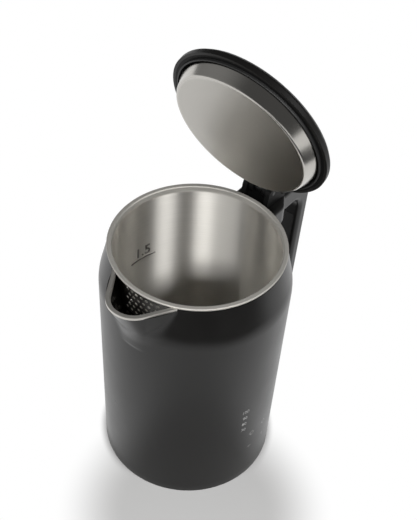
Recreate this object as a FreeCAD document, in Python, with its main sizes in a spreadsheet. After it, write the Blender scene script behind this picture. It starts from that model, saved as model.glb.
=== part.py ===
import FreeCAD, Part
import math
import os
import re

import Sketcher

# An electric kettle with its lid open. Millimetres, +Z up, the origin on the table under the vessel's axis,
# the spout towards -X and the handle towards +X.

V = FreeCAD.Vector
doc = FreeCAD.newDocument("kettle")
sizes = doc.addObject("Spreadsheet::Sheet", "Sizes")

DIMENSIONS = [
    ("rim_radius", 65.0, "outside edge of the rolled steel rim"),
    ("rim_height", 212.5, "top of the rim above the table"),
    ("rim_band", 3.7, "width of the rim seen from above"),
    ("rim_thickness", 1.8, "height of the rolled rim"),
    ("rim_overhang", 0.4, "how far the rim stands out over the shell"),
    ("rim_round", 0.8, "rounding of the rim"),
    ("vessel_wall", 0.6, "sheet of the steel vessel"),
    ("floor_height", 27.0, "inside floor of the vessel above the table"),
    ("floor_round", 8.0, "rounding between vessel wall and floor"),
    ("gasket_thickness", 1.2, "silicone ring under the rim"),
    ("crease_out", 6.2, "widest part of the shell beyond the rim"),
    ("crease_drop", 30.2, "where the shoulder starts, below the rim"),
    ("crease_round", 9.0, "softness of the crease"),
    ("foot_out", 3.4, "shell at its lower edge beyond the rim"),
    ("shell_lift", 1.0, "lower edge of the shell above the table"),
    ("shell_wall", 2.3, "plastic of the shell"),
    ("seat_gap", 0.1, "between fixed pieces that sit on each other"),
    ("play", 0.3, "between pieces that move past each other"),
    ("window_gap", 0.45, "between the button's leg and the window in the slider"),
    ("spout_reach", 23.5, "spout tip beyond the rim"),
    ("spout_nose", 19.5, "rounding of the spout in plan"),
    ("spout_half", 29.0, "half width of the spout at its root"),
    ("spout_sink", 7.0, "root of the spout inside the rim"),
    ("lip_drop", 1.0, "spout lip below the rim"),
    ("lip_band", 2.8, "width of the lip"),
    ("spout_sheet", 0.8, "sheet of the spout"),
    ("trough_gap", 0.5, "spout sheet to the plastic beak"),
    ("trough_depth", 28.0, "floor of the spout below its lip"),
    ("trough_reach", 7.5, "floor of the spout beyond the rim"),
    ("trough_nose", 14.0, "rounding of the spout floor in plan"),
    ("trough_half", 20.0, "half width of the spout floor at its root"),
    ("beak_reach", 6.0, "beak beyond the crease"),
    ("beak_nose", 18.0, "rounding of the beak at the crease"),
    ("beak_half", 26.0, "half width of the beak at the crease"),
    ("beak_drop", 62.5, "below the rim, where the beak runs out into the wall"),
    ("beak_foot_nose", 15.0, "rounding of the beak at its foot"),
    ("beak_foot_half", 18.0, "half width of the beak at its foot"),
    ("beak_sink", 1.2, "foot of the beak inside the wall's face"),
    ("hole_radius", 1.3, "one hole of the spout strainer"),
    ("hole_pitch", 4.5, "strainer holes across"),
    ("hole_rise", 4.4, "strainer rows upwards"),
    ("hole_start", 3.2, "lowest row above the spout floor"),
    ("spreader_inset", 15.0, "aluminium disc inside the rim"),
    ("spreader_thickness", 3.0, "aluminium disc under the floor"),
    ("element_radius", 38.0, "centre line of the heating tube"),
    ("element_tube", 3.3, "radius of the heating tube"),
    ("element_angle", 300.0, "arc of the heating tube in degrees"),
    ("terminal_radius", 1.6, "end pin of the heating tube"),
    ("terminal_length", 8.0, "end pin of the heating tube"),
    ("sensor_place", 28.5, "sensor from the axis"),
    ("sensor_radius", 3.0, "sensor body"),
    ("sensor_length", 8.0, "sensor body"),
    ("socket_radius", 23.0, "recess that takes the power base's boss"),
    ("socket_depth", 7.5, "depth of that recess"),
    ("collar_wall", 2.0, "wall around the recess"),
    ("cover_lift", 1.0, "bottom cover's plate above the table"),
    ("cover_plate", 2.4, "bottom cover's plate"),
    ("foot_ring_width", 7.5, "foot ring"),
    ("foot_ring_inset", 4.2, "foot ring inside the shell's lower edge"),
    ("foot_slope", 1.0, "sloped side of the foot ring"),
    ("block_radius", 22.0, "control block above its flange"),
    ("block_flange", 3.0, "flange of the control block"),
    ("pin_hole", 4.0, "centre hole of the socket"),
    ("inner_slot", 9.0, "inner slot of the socket, small radius"),
    ("outer_slot", 15.0, "outer slot of the socket, small radius"),
    ("slot_width", 2.4, "slots of the socket"),
    ("slot_depth", 8.0, "slots of the socket"),
    ("contact_height", 1.6, "contact rings"),
    ("contact_gap", 0.3, "contact rings from the slot's walls"),
    ("boss_inset", 8.2, "screw bosses inside the shell's lower edge"),
    ("boss_width", 8.0, "screw bosses"),
    ("boss_height", 14.0, "screw bosses"),
    ("screw_radius", 1.45, "thread of all screws"),
    ("screw_fit", 0.05, "thread in its pilot hole"),
    ("head_radius", 2.7, "screw heads"),
    ("head_height", 1.5, "screw heads"),
    ("screw_length", 11.0, "screws under their heads"),
    ("board_inset", 1.6, "control board from the vessel"),
    ("board_thickness", 0.7, "control board"),
    ("board_low", 30.0, "control board, lower edge"),
    ("board_high", 96.0, "control board, upper edge"),
    ("board_angle", 44.0, "arc of the control board in degrees"),
    ("board_side_angle", -90.0, "direction of the control board in degrees"),
    ("light_side_angle", -105.0, "direction of the lights in degrees"),
    ("light_angle", 4.0, "arc of one light in degrees"),
    ("light_height", 3.0, "one light"),
    ("light_depth", 1.1, "one light"),
    ("light_low", 64.5, "lowest light"),
    ("light_rise", 7.8, "from one light to the next"),
    ("handle_drop", 8.5, "top of the handle below the rim"),
    ("handle_foot", 38.0, "underside of the lower arm"),
    ("upper_arm", 18.0, "upper arm, height"),
    ("lower_arm", 16.0, "lower arm, height"),
    ("grip_out", 66.5, "outside of the grip at its top, beyond the rim"),
    ("grip_lean", 0.062, "grip leaning in, per unit of height"),
    ("grip_thickness", 11.8, "grip in side view"),
    ("grip_width", 26.0, "grip seen from behind"),
    ("grip_edge", 3.8, "rounded edges of the grip"),
    ("top_corner", 18.0, "upper outside corner of the grip"),
    ("low_corner", 24.0, "lower outside corner of the grip"),
    ("gap_corner", 12.0, "corners of the finger gap"),
    ("head_out", 27.0, "end of the handle's head beyond the rim"),
    ("head_width", 39.0, "handle's head at the shell"),
    ("head_edge", 3.0, "rounded edges of the head"),
    ("head_sink", 5.0, "handle profiles start inside the rim"),
    ("cover_margin", 40.0, "grip cover from both ends of the handle"),
    ("cover_width", 17.0, "grip cover"),
    ("cover_thickness", 2.4, "grip cover"),
    ("grip_hollow", 7.0, "depth of the hollow in the grip"),
    ("hinge_out", 11.2, "hinge pin beyond the rim"),
    ("hinge_rise", 3.3, "hinge pin above the rim"),
    ("open_angle", 71.5, "lid opening in degrees"),
    ("pin_radius", 2.0, "hinge pin"),
    ("pin_fit", 0.06, "hinge pin in the knuckle"),
    ("knuckle_radius", 5.2, "knuckle of the lid"),
    ("knuckle_width", 15.6, "knuckle of the lid"),
    ("ear_gap", 0.5, "knuckle to each ear"),
    ("ear_thickness", 4.0, "ears of the bracket"),
    ("ear_front", 6.0, "ears in front of the pin"),
    ("ear_round", 5.0, "rounded top of the ears"),
    ("bracket_out", 3.0, "front of the bracket beyond the rim"),
    ("bracket_plate", 4.0, "plate of the bracket"),
    ("bracket_screw_out", 23.5, "bracket screws beyond the rim"),
    ("bracket_screw_side", 8.6, "bracket screws from the middle"),
    ("spring_wire", 0.5, "radius of the lid spring's wire"),
    ("spring_clear", 0.6, "lid spring around the pin"),
    ("spring_pitch", 1.5, "lid spring, one turn"),
    ("spring_slot", 8.0, "gap in the knuckle for the lid spring"),
    ("slider_width", 10.0, "latch slider"),
    ("slider_height", 8.0, "latch slider"),
    ("slider_drop", 12.0, "underside of the slider below the handle's top"),
    ("slider_out", 45.0, "outer end of the slider beyond the rim"),
    ("nose_thickness", 3.0, "latch nose"),
    ("nose_width", 8.0, "latch nose"),
    ("notch_depth", 1.5, "notch in the knuckle for the latch nose"),
    ("notch_height", 3.4, "notch in the knuckle for the latch nose"),
    ("button_travel", 2.8, "travel of the release button"),
    ("button_proud", 3.2, "button above the handle's top"),
    ("button_out", 30.0, "inner end of the button beyond the rim"),
    ("button_length", 12.0, "button along the handle"),
    ("button_width", 13.0, "button across the handle"),
    ("button_edge", 1.2, "rounded edges of the button"),
    ("leg_inset", 4.2, "button's leg from its inner end"),
    ("leg_tip", 0.4, "width of the leg's tip"),
    ("leg_rest", 1.2, "leg's tip above the slider's underside"),
    ("cap_thickness", 3.1, "handle cap"),
    ("cap_margin", 2.0, "handle cap inwards of the button"),
    ("cap_length", 17.0, "handle cap"),
    ("cap_width", 19.0, "handle cap"),
    ("coil_radius", 2.4, "latch spring, centre of its wire"),
    ("coil_wire", 0.35, "latch spring, radius of its wire"),
    ("coil_length", 5.6, "latch spring"),
    ("screw_inset", 3.5, "handle screws' heads from the shell's inside"),
    ("upper_screw_drop", 10.0, "upper handle screws below the handle's top"),
    ("upper_screw_side", 9.0, "upper handle screws from the middle"),
    ("lower_screw_side", 6.0, "lower handle screws from the middle"),
    ("lid_gap", 1.4, "closed lid above the rim"),
    ("lid_out", 0.1, "lid cover beyond the rim"),
    ("lid_side", 7.2, "side wall of the lid cover"),
    ("lid_dome", 2.0, "dome of the lid cover"),
    ("lid_bend", 31.0, "dome of the lid cover bends this far inside the edge"),
    ("lid_sweep", 450.0, "wide rounding of the lid cover's dome"),
    ("lid_taper", 3.0, "top of the lid cover inside its lower edge"),
    ("lid_turn", 2.0, "rounding where the lid cover starts to taper"),
    ("lid_edge", 3.5, "rounded edge of the lid cover"),
    ("lid_sheet", 2.2, "plastic of the lid cover"),
    ("frame_thickness", 2.0, "lid frame"),
    ("frame_inset", 18.0, "opening of the lid frame inside the rim"),
    ("frame_lip", 2.0, "rim of the lid frame around the seal"),
    ("arm_thickness", 4.4, "hinge arm"),
    ("arm_sink", 5.0, "hinge arm starts in the frame, inside the rim"),
    ("pan_inset", 5.8, "steel pan at its upper edge, inside the rim"),
    ("pan_taper", 5.0, "steel pan, narrowing to its face"),
    ("pan_depth", 9.6, "pan's face below the rim when closed"),
    ("pan_sheet", 0.6, "sheet of the pan"),
    ("pan_round", 2.2, "rounded edge of the pan"),
    ("seal_width", 1.2, "lid seal"),
    ("seal_drop", 0.4, "lid seal below the rim when closed"),
    ("lid_screw_inset", 12.5, "lid screws inside the rim"),
    ("lid_boss", 3.2, "screw bosses in the lid cover"),
]

MESH_ROWS = 5
MESH_COLUMNS = 7
BOTTOM_SCREWS = 3
LID_SCREWS = 3
LIGHTS = 4
SPRING_TURNS = 4
COIL_TURNS = 4

for row, (alias, number, meaning) in enumerate(DIMENSIONS, start=1):
    sizes.set(f"A{row}", meaning)
    sizes.set(f"B{row}", str(number))
    sizes.setAlias(f"B{row}", alias)
doc.recompute()
ALIASES = {alias for alias, number, meaning in DIMENSIONS}

# Words that stand for a place, worked out from the sizes above, so that the pieces keep together.
PLACES = {
    "crease_radius": "(rim_radius + crease_out)",
    "crease_height": "(rim_height - crease_drop)",
    "foot_radius": "(rim_radius + foot_out)",
    "spout_root": "(rim_radius - spout_sink)",
    "beak_foot": "(rim_height - beak_drop)",
    "spreader_radius": "(rim_radius - spreader_inset)",
    "foot_ring_outer": "(foot_radius - foot_ring_inset)",
    "foot_ring_inner": "(foot_ring_outer - foot_ring_width)",
    "boss_place": "(foot_radius - boss_inset)",
    "handle_top": "(rim_height - handle_drop)",
    "grip_reach": "(rim_radius + grip_out)",
    "head_end": "(rim_radius + head_out)",
    "head_root": "(rim_radius - head_sink)",
    "cover_low": "(handle_foot + cover_margin)",
    "cover_high": "(handle_top - cover_margin)",
    "hinge_reach": "(rim_radius + hinge_out)",
    "bracket_front": "(rim_radius + bracket_out)",
    "bracket_screw": "(rim_radius + bracket_screw_out)",
    "slider_end": "(rim_radius + slider_out)",
    "button_start": "(rim_radius + button_out)",
    "cap_start": "(button_start - cap_margin)",
    "cap_end": "(cap_start + cap_length)",
    "upper_screw_height": "(handle_top - upper_screw_drop)",
    "lid_radius": "(rim_radius + lid_out)",
    "frame_inner": "(rim_radius - frame_inset)",
    "arm_root": "(rim_radius - arm_sink)",
    "pan_radius": "(rim_radius - pan_inset)",
    "pan_face": "(pan_radius - pan_taper)",
    "lid_screw_place": "(rim_radius - lid_screw_inset)",
}

# Places that several pieces share, as formulas of the sizes and words above.
VESSEL_IN = "(rim_radius - rim_band)"
VESSEL_OUT = "(rim_radius - rim_band + vessel_wall)"
FLOOR_UNDER = "(floor_height - vessel_wall)"
RIM_UNDER = "(rim_height - rim_thickness)"
SHELL_TOP = "(rim_height - rim_thickness - gasket_thickness)"
SHELL_TOP_RADIUS = "(rim_radius - rim_overhang)"
LIP_TOP = "(rim_height - lip_drop)"
TROUGH_FLOOR = "(rim_height - lip_drop - trough_depth)"
SPREADER_UNDER = "(floor_height - vessel_wall - spreader_thickness)"
SOCKET_FACE = "(cover_lift + socket_depth)"
COVER_TOP = "(cover_lift + cover_plate)"
PIN_HEIGHT = "(rim_height + hinge_rise)"
ARM_UNDER = "(handle_top - upper_arm)"
LOW_ARM_TOP = "(handle_foot + lower_arm)"
SLIDER_UNDER = "(handle_top - slider_drop)"
SLIDER_TOP = "(handle_top - slider_drop + slider_height)"
NOSE_FACE = "(hinge_reach + knuckle_radius + play)"
LID_LOW = "(rim_height + lid_gap)"
FRAME_TOP = "(rim_height + lid_gap + frame_lip + frame_thickness)"
FRAME_SEAT = "(rim_height + lid_gap + frame_lip)"
LID_SIDE_TOP = "(rim_height + lid_gap + lid_side)"
FRAME_RADIUS = "(lid_radius - lid_sheet - seat_gap)"
BUTTON_TOP = "(handle_top + button_proud)"
BUTTON_UNDER = "(handle_top - cap_thickness + button_travel)"
LEG_FACE = "(button_start + leg_inset)"
LEG_LOW = "(handle_top - slider_drop + leg_rest)"


def cell(word):
    """One word of a formula: a place, a size read from its cell, or a function's name."""
    if word in PLACES:
        return cells(PLACES[word])
    if word in ALIASES:
        return "Sizes." + word
    return word


def cells(text):
    """The formula with each size read from its cell."""
    return re.sub(r"[a-z_]+", lambda found: cell(found[0]), text)


def value(text):
    """The formula as a number."""
    return float(sizes.evalExpression(cells(text)))


def new_body(label):
    body = doc.addObject("PartDesign::Body", label)
    body.Label = label
    body.AllowCompound = True
    return body


def origin_part(body, role):
    return next(item for item in body.Origin.OriginFeatures if item.Role == role)


def new_sketch(body, name, plane, offset="0"):
    sketch = body.newObject("Sketcher::SketchObject", name)
    sketch.AttachmentSupport = [(origin_part(body, plane), "")]
    sketch.MapMode = "FlatFace"
    sketch.setExpression("AttachmentOffset.Base.z", cells(offset))
    return sketch


def pin_down(sketch, kind, target, text):
    """A dimension of the sketch that follows a formula."""
    index = sketch.addConstraint(Sketcher.Constraint(kind, *target, value(text)))
    sketch.setExpression(f"Constraints[{index}]", cells(text))


def place_point(sketch, geometry, spot, across, up):
    pin_down(sketch, "DistanceX", (-1, 1, geometry, spot), across)
    pin_down(sketch, "DistanceY", (-1, 1, geometry, spot), up)


def arc_between(start, end, centre, radius):
    """An arc that runs counter-clockwise from start to end."""
    first = math.atan2(start.y - centre.y, start.x - centre.x)
    last = math.atan2(end.y - centre.y, end.x - centre.x)
    if last < first:
        last += 2 * math.pi
    return Part.ArcOfCircle(Part.Circle(centre, V(0, 0, 1), radius), first, last)


def add_outline(sketch, corners):
    """A closed outline: each corner is (across, up) or (across, up, rounding)."""
    spots = [V(value(corner[0]), value(corner[1]), 0) for corner in corners]
    count = len(corners)
    arrive = list(spots)
    leave = list(spots)
    arcs = {}
    for i in range(count):
        if len(corners[i]) < 3:
            continue
        back = (spots[i - 1] - spots[i]).normalize()
        onward = (spots[(i + 1) % count] - spots[i]).normalize()
        half = back.getAngle(onward) / 2
        radius = value(corners[i][2])
        arrive[i] = spots[i] + back * (radius / math.tan(half))
        leave[i] = spots[i] + onward * (radius / math.tan(half))
        centre = spots[i] + (back + onward).normalize() * (radius / math.sin(half))
        left_turn = back.cross(onward).z < 0
        ends = (arrive[i], leave[i]) if left_turn else (leave[i], arrive[i])
        arcs[i] = (arc_between(*ends, centre, radius), left_turn)
    lines = []
    for i in range(count):
        lines.append(sketch.addGeometry(Part.LineSegment(leave[i], arrive[(i + 1) % count])))
    for i in range(count):
        mark = sketch.addGeometry(Part.Point(spots[i]), True)
        place_point(sketch, mark, 1, corners[i][0], corners[i][1])
        before, after = lines[i - 1], lines[i]
        if i not in arcs:
            sketch.addConstraint(Sketcher.Constraint("Coincident", before, 2, mark, 1))
            sketch.addConstraint(Sketcher.Constraint("Coincident", after, 1, mark, 1))
            continue
        shape, left_turn = arcs[i]
        arc = sketch.addGeometry(shape)
        first, last = (1, 2) if left_turn else (2, 1)
        sketch.addConstraint(Sketcher.Constraint("PointOnObject", mark, 1, before))
        sketch.addConstraint(Sketcher.Constraint("PointOnObject", mark, 1, after))
        sketch.addConstraint(Sketcher.Constraint("Tangent", before, 2, arc, first))
        sketch.addConstraint(Sketcher.Constraint("Tangent", arc, last, after, 1))
        pin_down(sketch, "Radius", (arc,), corners[i][2])


def add_circle(sketch, across, up, radius):
    centre = V(value(across), value(up), 0)
    circle = sketch.addGeometry(Part.Circle(centre, V(0, 0, 1), value(radius)))
    place_point(sketch, circle, 3, across, up)
    pin_down(sketch, "Radius", (circle,), radius)


def add_spout_outline(sketch, tip, nose, half):
    """Plan of the spout: a round nose with flaring sides, closed across its root."""
    middle = value(f"{nose} - ({tip})")
    radius = value(nose)
    corner = V(-value("spout_root"), value(half), 0)
    away = corner - V(middle, 0, 0)
    angle = math.atan2(away.y, away.x) + math.acos(radius / away.Length)
    touch = V(middle + radius * math.cos(angle), radius * math.sin(angle), 0)
    mirror = V(touch.x, -touch.y, 0)
    lower = V(corner.x, -corner.y, 0)
    arc = sketch.addGeometry(arc_between(touch, mirror, V(middle, 0, 0), radius))
    flank = sketch.addGeometry(Part.LineSegment(mirror, lower))
    root = sketch.addGeometry(Part.LineSegment(lower, corner))
    other = sketch.addGeometry(Part.LineSegment(corner, touch))
    place_point(sketch, arc, 3, f"{nose} - ({tip})", "0")
    pin_down(sketch, "Radius", (arc,), nose)
    sketch.addConstraint(Sketcher.Constraint("Tangent", arc, 2, flank, 1))
    sketch.addConstraint(Sketcher.Constraint("Tangent", other, 2, arc, 1))
    sketch.addConstraint(Sketcher.Constraint("Coincident", flank, 2, root, 1))
    sketch.addConstraint(Sketcher.Constraint("Coincident", root, 2, other, 1))
    place_point(sketch, root, 1, "-spout_root", f"-({half})")
    place_point(sketch, root, 2, "-spout_root", half)


def turned(body, name, corners, cut=False, angle="360"):
    """A profile of (radius, height) corners turned about the vertical axis."""
    sketch = new_sketch(body, name + "_profile", "XZ_Plane")
    add_outline(sketch, corners)
    feature = body.newObject("PartDesign::Groove" if cut else "PartDesign::Revolution", name)
    feature.Profile = sketch
    feature.ReferenceAxis = (origin_part(body, "Z_Axis"), [""])
    feature.setExpression("Angle", cells(angle))
    feature.Midplane = angle != "360"
    return finish_feature(body, feature, cut)


def finish_feature(body, feature, cut):
    """Works the feature out and stops if it left the body as it was."""
    before = feature.BaseFeature.Shape.Volume if feature.BaseFeature else 0.0
    body.Tip = feature
    doc.recompute()
    change = feature.Shape.Volume - before
    if (change >= 0) if cut else (change <= 0):
        raise RuntimeError(f"{body.Label}: {feature.Name} changes nothing")
    return feature


def side_block(body, name, corners, width, cut=False):
    """An outline in side view, (x, height) corners, extruded evenly to both sides."""
    sketch = new_sketch(body, name + "_profile", "XZ_Plane")
    add_outline(sketch, corners)
    feature = body.newObject("PartDesign::Pocket" if cut else "PartDesign::Pad", name)
    feature.Profile = sketch
    feature.Midplane = True
    feature.setExpression("Length", cells(width))
    return finish_feature(body, feature, cut)


def plan_block(body, name, draw, low, height, cut=False):
    """What draw puts in a plan sketch, extruded upwards from its lower height."""
    sketch = new_sketch(body, name + "_profile", "XY_Plane", low)
    draw(sketch)
    feature = body.newObject("PartDesign::Pocket" if cut else "PartDesign::Pad", name)
    feature.Profile = sketch
    feature.Reversed = cut
    feature.setExpression("Length", cells(height))
    return finish_feature(body, feature, cut)


def bore_along_x(body, name, holes, start, length):
    """Round holes, (across, height, radius), drilled from start along X; a negative length goes to -X."""
    sketch = new_sketch(body, name + "_profile", "YZ_Plane", start)
    for across, up, radius in holes:
        add_circle(sketch, across, up, radius)
    feature = body.newObject("PartDesign::Pocket", name)
    feature.Profile = sketch
    feature.Reversed = not length.startswith("-")
    feature.setExpression("Length", cells(length.lstrip("-")))
    return finish_feature(body, feature, True)


def spout_loft(body, name, sections, cut=False):
    """A ruled body through spout outlines; each section is (height, tip, nose, half)."""
    sketches = []
    for number, (height, tip, nose, half) in enumerate(sections):
        sketch = new_sketch(body, f"{name}_section_{number}", "XY_Plane", height)
        add_spout_outline(sketch, tip, nose, half)
        sketches.append(sketch)
    feature = body.newObject("PartDesign::SubtractiveLoft" if cut else "PartDesign::AdditiveLoft", name)
    feature.Profile = sketches[0]
    feature.Sections = sketches[1:]
    feature.Ruled = True
    return finish_feature(body, feature, cut)


def repeated(body, features, name, copies):
    """Copies of features around the vertical axis."""
    pattern = body.newObject("PartDesign::PolarPattern", name)
    pattern.Originals = features
    pattern.Axis = (origin_part(body, "Z_Axis"), [""])
    pattern.Angle = 360
    pattern.Occurrences = copies
    body.Tip = pattern
    doc.recompute()
    return pattern


def rounded(body, name, radius, chosen):
    """Rounds the edges of the last feature that chosen picks."""
    base = body.Tip
    names = [f"Edge{i}" for i, edge in enumerate(base.Shape.Edges, start=1) if chosen(edge)]
    feature = body.newObject("PartDesign::Fillet", name)
    feature.Base = (base, names)
    feature.setExpression("Radius", cells(radius))
    body.Tip = feature
    doc.recompute()
    return feature


def in_plane(edge, axis, place):
    """True where the whole edge lies at one place along an axis, 0 for X, 1 for Y and 2 for Z."""
    box = edge.BoundBox
    low = (box.XMin, box.YMin, box.ZMin)[axis]
    high = (box.XMax, box.YMax, box.ZMax)[axis]
    return abs(low - place) < 1e-4 and abs(high - place) < 1e-4


def radius_at(height, gap="0"):
    """Formula for the shell's outer radius at a height below the crease."""
    rise = f"(({height}) - shell_lift) / (crease_height - shell_lift)"
    return f"(foot_radius + (crease_radius - foot_radius) * {rise} + ({gap}))"


def shoulder_at(height):
    """Formula for the shell's outer radius at a height above the crease."""
    rise = f"(({height}) - crease_height) / ({SHELL_TOP} - crease_height)"
    return f"(crease_radius - (crease_radius - {SHELL_TOP_RADIUS}) * {rise})"


def trough_sections(offset, low, high):
    """Spout outlines from the trough's floor to the lip, grown by an offset."""
    tip = f"rim_radius + spout_reach - lip_band + {offset}"
    return [
        (low, f"rim_radius + trough_reach + {offset}", f"(trough_nose + {offset})",
         f"trough_half + {offset}"),
        (high, tip, f"(spout_nose - lip_band + {offset})", f"spout_half - lip_band + {offset}"),
    ]


def make_outer_shell():
    body = new_body("outer_shell")
    turned(body, "shell_form", [
        ("0", "shell_lift"),
        ("foot_radius", "shell_lift"),
        ("crease_radius", "crease_height", "crease_round"),
        (SHELL_TOP_RADIUS, SHELL_TOP),
        ("0", SHELL_TOP),
    ])
    foot = radius_at("beak_foot", "-beak_sink")
    spout_loft(body, "beak", [
        ("beak_foot", foot, "beak_foot_nose", "beak_foot_half"),
        ("crease_height", "crease_radius + beak_reach", "beak_nose", "beak_half"),
        (SHELL_TOP, "rim_radius + spout_reach", "spout_nose", "spout_half"),
    ])
    turned(body, "shell_hollow", [
        ("0", "shell_lift - seat_gap"),
        ("foot_radius - shell_wall", "shell_lift - seat_gap"),
        ("crease_radius - shell_wall", "crease_height", "crease_round"),
        (f"{SHELL_TOP_RADIUS} - shell_wall", f"{SHELL_TOP} + seat_gap"),
        ("0", f"{SHELL_TOP} + seat_gap"),
    ], cut=True)
    offset = "(spout_sheet + trough_gap)"
    sections = trough_sections(offset, f"{TROUGH_FLOOR} - {offset}", SHELL_TOP)
    spout_loft(body, "trough_seat", sections, cut=True)
    boss = plan_block(body, "boss", lambda sketch: add_outline(sketch, [
        ("boss_place - boss_width / 2", "-boss_width / 2"),
        ("foot_radius - shell_wall / 2", "-boss_width / 2"),
        ("foot_radius - shell_wall / 2", "boss_width / 2"),
        ("boss_place - boss_width / 2", "boss_width / 2"),
    ]), f"{COVER_TOP} + seat_gap", "boss_height")
    repeated(body, [boss], "bosses", BOTTOM_SCREWS)
    pilot = plan_block(body, "boss_hole", lambda sketch: add_circle(
        sketch, "boss_place", "0", "screw_radius + screw_fit"),
        COVER_TOP, "boss_height - head_height", cut=True)
    repeated(body, [pilot], "boss_holes", BOTTOM_SCREWS)
    clear = "screw_radius + screw_fit"
    reach = "crease_radius - spout_root + beak_reach"
    bore_along_x(body, "handle_holes", handle_screw_places(clear), "spout_root", reach)
    return body


def handle_screw_places(radius):
    """Where the handle's screws pass the shell, as (across, height, radius)."""
    upper = [(f"{side}upper_screw_side", "upper_screw_height", radius) for side in ("", "-")]
    lower = [(f"{side}lower_screw_side", "handle_foot + lower_arm / 2", radius) for side in ("", "-")]
    return upper + lower


def make_inner_vessel():
    body = new_body("inner_vessel")
    turned(body, "pot", [
        ("0", FLOOR_UNDER),
        (VESSEL_OUT, FLOOR_UNDER, "floor_round + vessel_wall"),
        (VESSEL_OUT, RIM_UNDER),
        ("rim_radius", RIM_UNDER, "rim_round"),
        ("rim_radius", "rim_height", "rim_round"),
        (VESSEL_IN, "rim_height", "rim_round"),
        (VESSEL_IN, "floor_height", "floor_round"),
        ("0", "floor_height"),
    ])
    holes = []
    for row in range(MESH_ROWS):
        columns = MESH_COLUMNS - row % 2
        for column in range(columns):
            across = f"hole_pitch * {column - (columns - 1) / 2}"
            holes.append((across, f"{TROUGH_FLOOR} + hole_start + hole_rise * {row}", "hole_radius"))
    bore_along_x(body, "strainer", holes, "0", "-rim_radius")
    return body


def make_pouring_spout():
    body = new_body("pouring_spout")
    spout_loft(body, "trough", trough_sections("spout_sheet", f"{TROUGH_FLOOR} - spout_sheet", SHELL_TOP))
    plan_block(body, "lip", lambda sketch: add_spout_outline(
        sketch, "rim_radius + spout_reach", "spout_nose", "spout_half"),
        SHELL_TOP, f"{LIP_TOP} - {SHELL_TOP}")
    spout_loft(body, "pocket", trough_sections("0", TROUGH_FLOOR, LIP_TOP), cut=True)
    turned(body, "vessel_side", [
        ("0", "beak_foot"),
        (f"{VESSEL_OUT} + seat_gap", "beak_foot"),
        (f"{VESSEL_OUT} + seat_gap", f"{SHELL_TOP} - seat_gap"),
        ("rim_radius + seat_gap", f"{SHELL_TOP} - seat_gap"),
        ("rim_radius + seat_gap", "rim_height"),
        ("0", "rim_height"),
    ], cut=True)
    return body


def make_rim_gasket():
    body = new_body("rim_gasket")
    turned(body, "ring", [
        (f"{SHELL_TOP_RADIUS} - shell_wall", SHELL_TOP),
        (f"{SHELL_TOP_RADIUS} - rim_overhang", SHELL_TOP),
        (f"{SHELL_TOP_RADIUS} - rim_overhang", RIM_UNDER),
        (f"{SHELL_TOP_RADIUS} - shell_wall", RIM_UNDER),
    ])
    return body


def make_heat_spreader():
    body = new_body("heat_spreader")
    turned(body, "disc", [
        ("0", SPREADER_UNDER),
        ("spreader_radius", SPREADER_UNDER, "spreader_thickness / 4"),
        ("spreader_radius", FLOOR_UNDER),
        ("0", FLOOR_UNDER),
    ])
    return body


def make_heating_element():
    """A tube bent into an open ring, with an end pin standing down at each end."""
    height = f"{SPREADER_UNDER} - element_tube"
    ring = doc.addObject("Part::Torus", "element_ring")
    ring.setExpression("Radius1", cells("element_radius"))
    ring.setExpression("Radius2", cells("element_tube"))
    ring.setExpression("Angle3", cells("element_angle"))
    ring.setExpression("Placement.Base.z", cells(height))
    pieces = [ring]
    for number, angle in enumerate(("0", "element_angle")):
        pin = doc.addObject("Part::Cylinder", f"element_pin_{number}")
        pin.setExpression("Radius", cells("terminal_radius"))
        pin.setExpression("Height", cells("terminal_length"))
        inward = "2 * terminal_radius" if number == 0 else "-2 * terminal_radius"
        pin.setExpression("Placement.Base.x", cells(
            f"element_radius * cos({angle}) - {inward} * sin({angle})"))
        pin.setExpression("Placement.Base.y", cells(
            f"element_radius * sin({angle}) + {inward} * cos({angle})"))
        pin.setExpression("Placement.Base.z", cells(f"{height} - terminal_length"))
        pieces.append(pin)
    whole = doc.addObject("Part::MultiFuse", "heating_element")
    whole.Shapes = pieces
    whole.Label = "heating_element"
    return whole


def make_temperature_sensor():
    sensor = doc.addObject("Part::Cylinder", "temperature_sensor")
    sensor.setExpression("Radius", cells("sensor_radius"))
    sensor.setExpression("Height", cells("sensor_length"))
    sensor.setExpression("Placement.Base.y", cells("sensor_place"))
    sensor.setExpression("Placement.Base.z", cells(f"{SPREADER_UNDER} - sensor_length"))
    sensor.Label = "temperature_sensor"
    return sensor


def make_control_block():
    body = new_body("control_block")
    slot_top = f"{SOCKET_FACE} + slot_depth"
    corners = [("0", slot_top), ("pin_hole", slot_top), ("pin_hole", SOCKET_FACE)]
    for start in ("inner_slot", "outer_slot"):
        corners += [
            (start, SOCKET_FACE),
            (start, slot_top),
            (f"{start} + slot_width", slot_top),
            (f"{start} + slot_width", SOCKET_FACE),
        ]
    corners += [
        ("socket_radius + collar_wall", SOCKET_FACE),
        ("socket_radius + collar_wall", f"{SOCKET_FACE} + block_flange"),
        ("block_radius", f"{SOCKET_FACE} + block_flange"),
        ("block_radius", SPREADER_UNDER),
        ("0", SPREADER_UNDER),
    ]
    turned(body, "block", corners)
    return body


def make_contact_ring(label, start):
    body = new_body(label)
    top = f"{SOCKET_FACE} + slot_depth"
    turned(body, "ring", [
        (f"{start} + contact_gap", f"{top} - contact_height"),
        (f"{start} + slot_width - contact_gap", f"{top} - contact_height"),
        (f"{start} + slot_width - contact_gap", top),
        (f"{start} + contact_gap", top),
    ])
    return body


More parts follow.
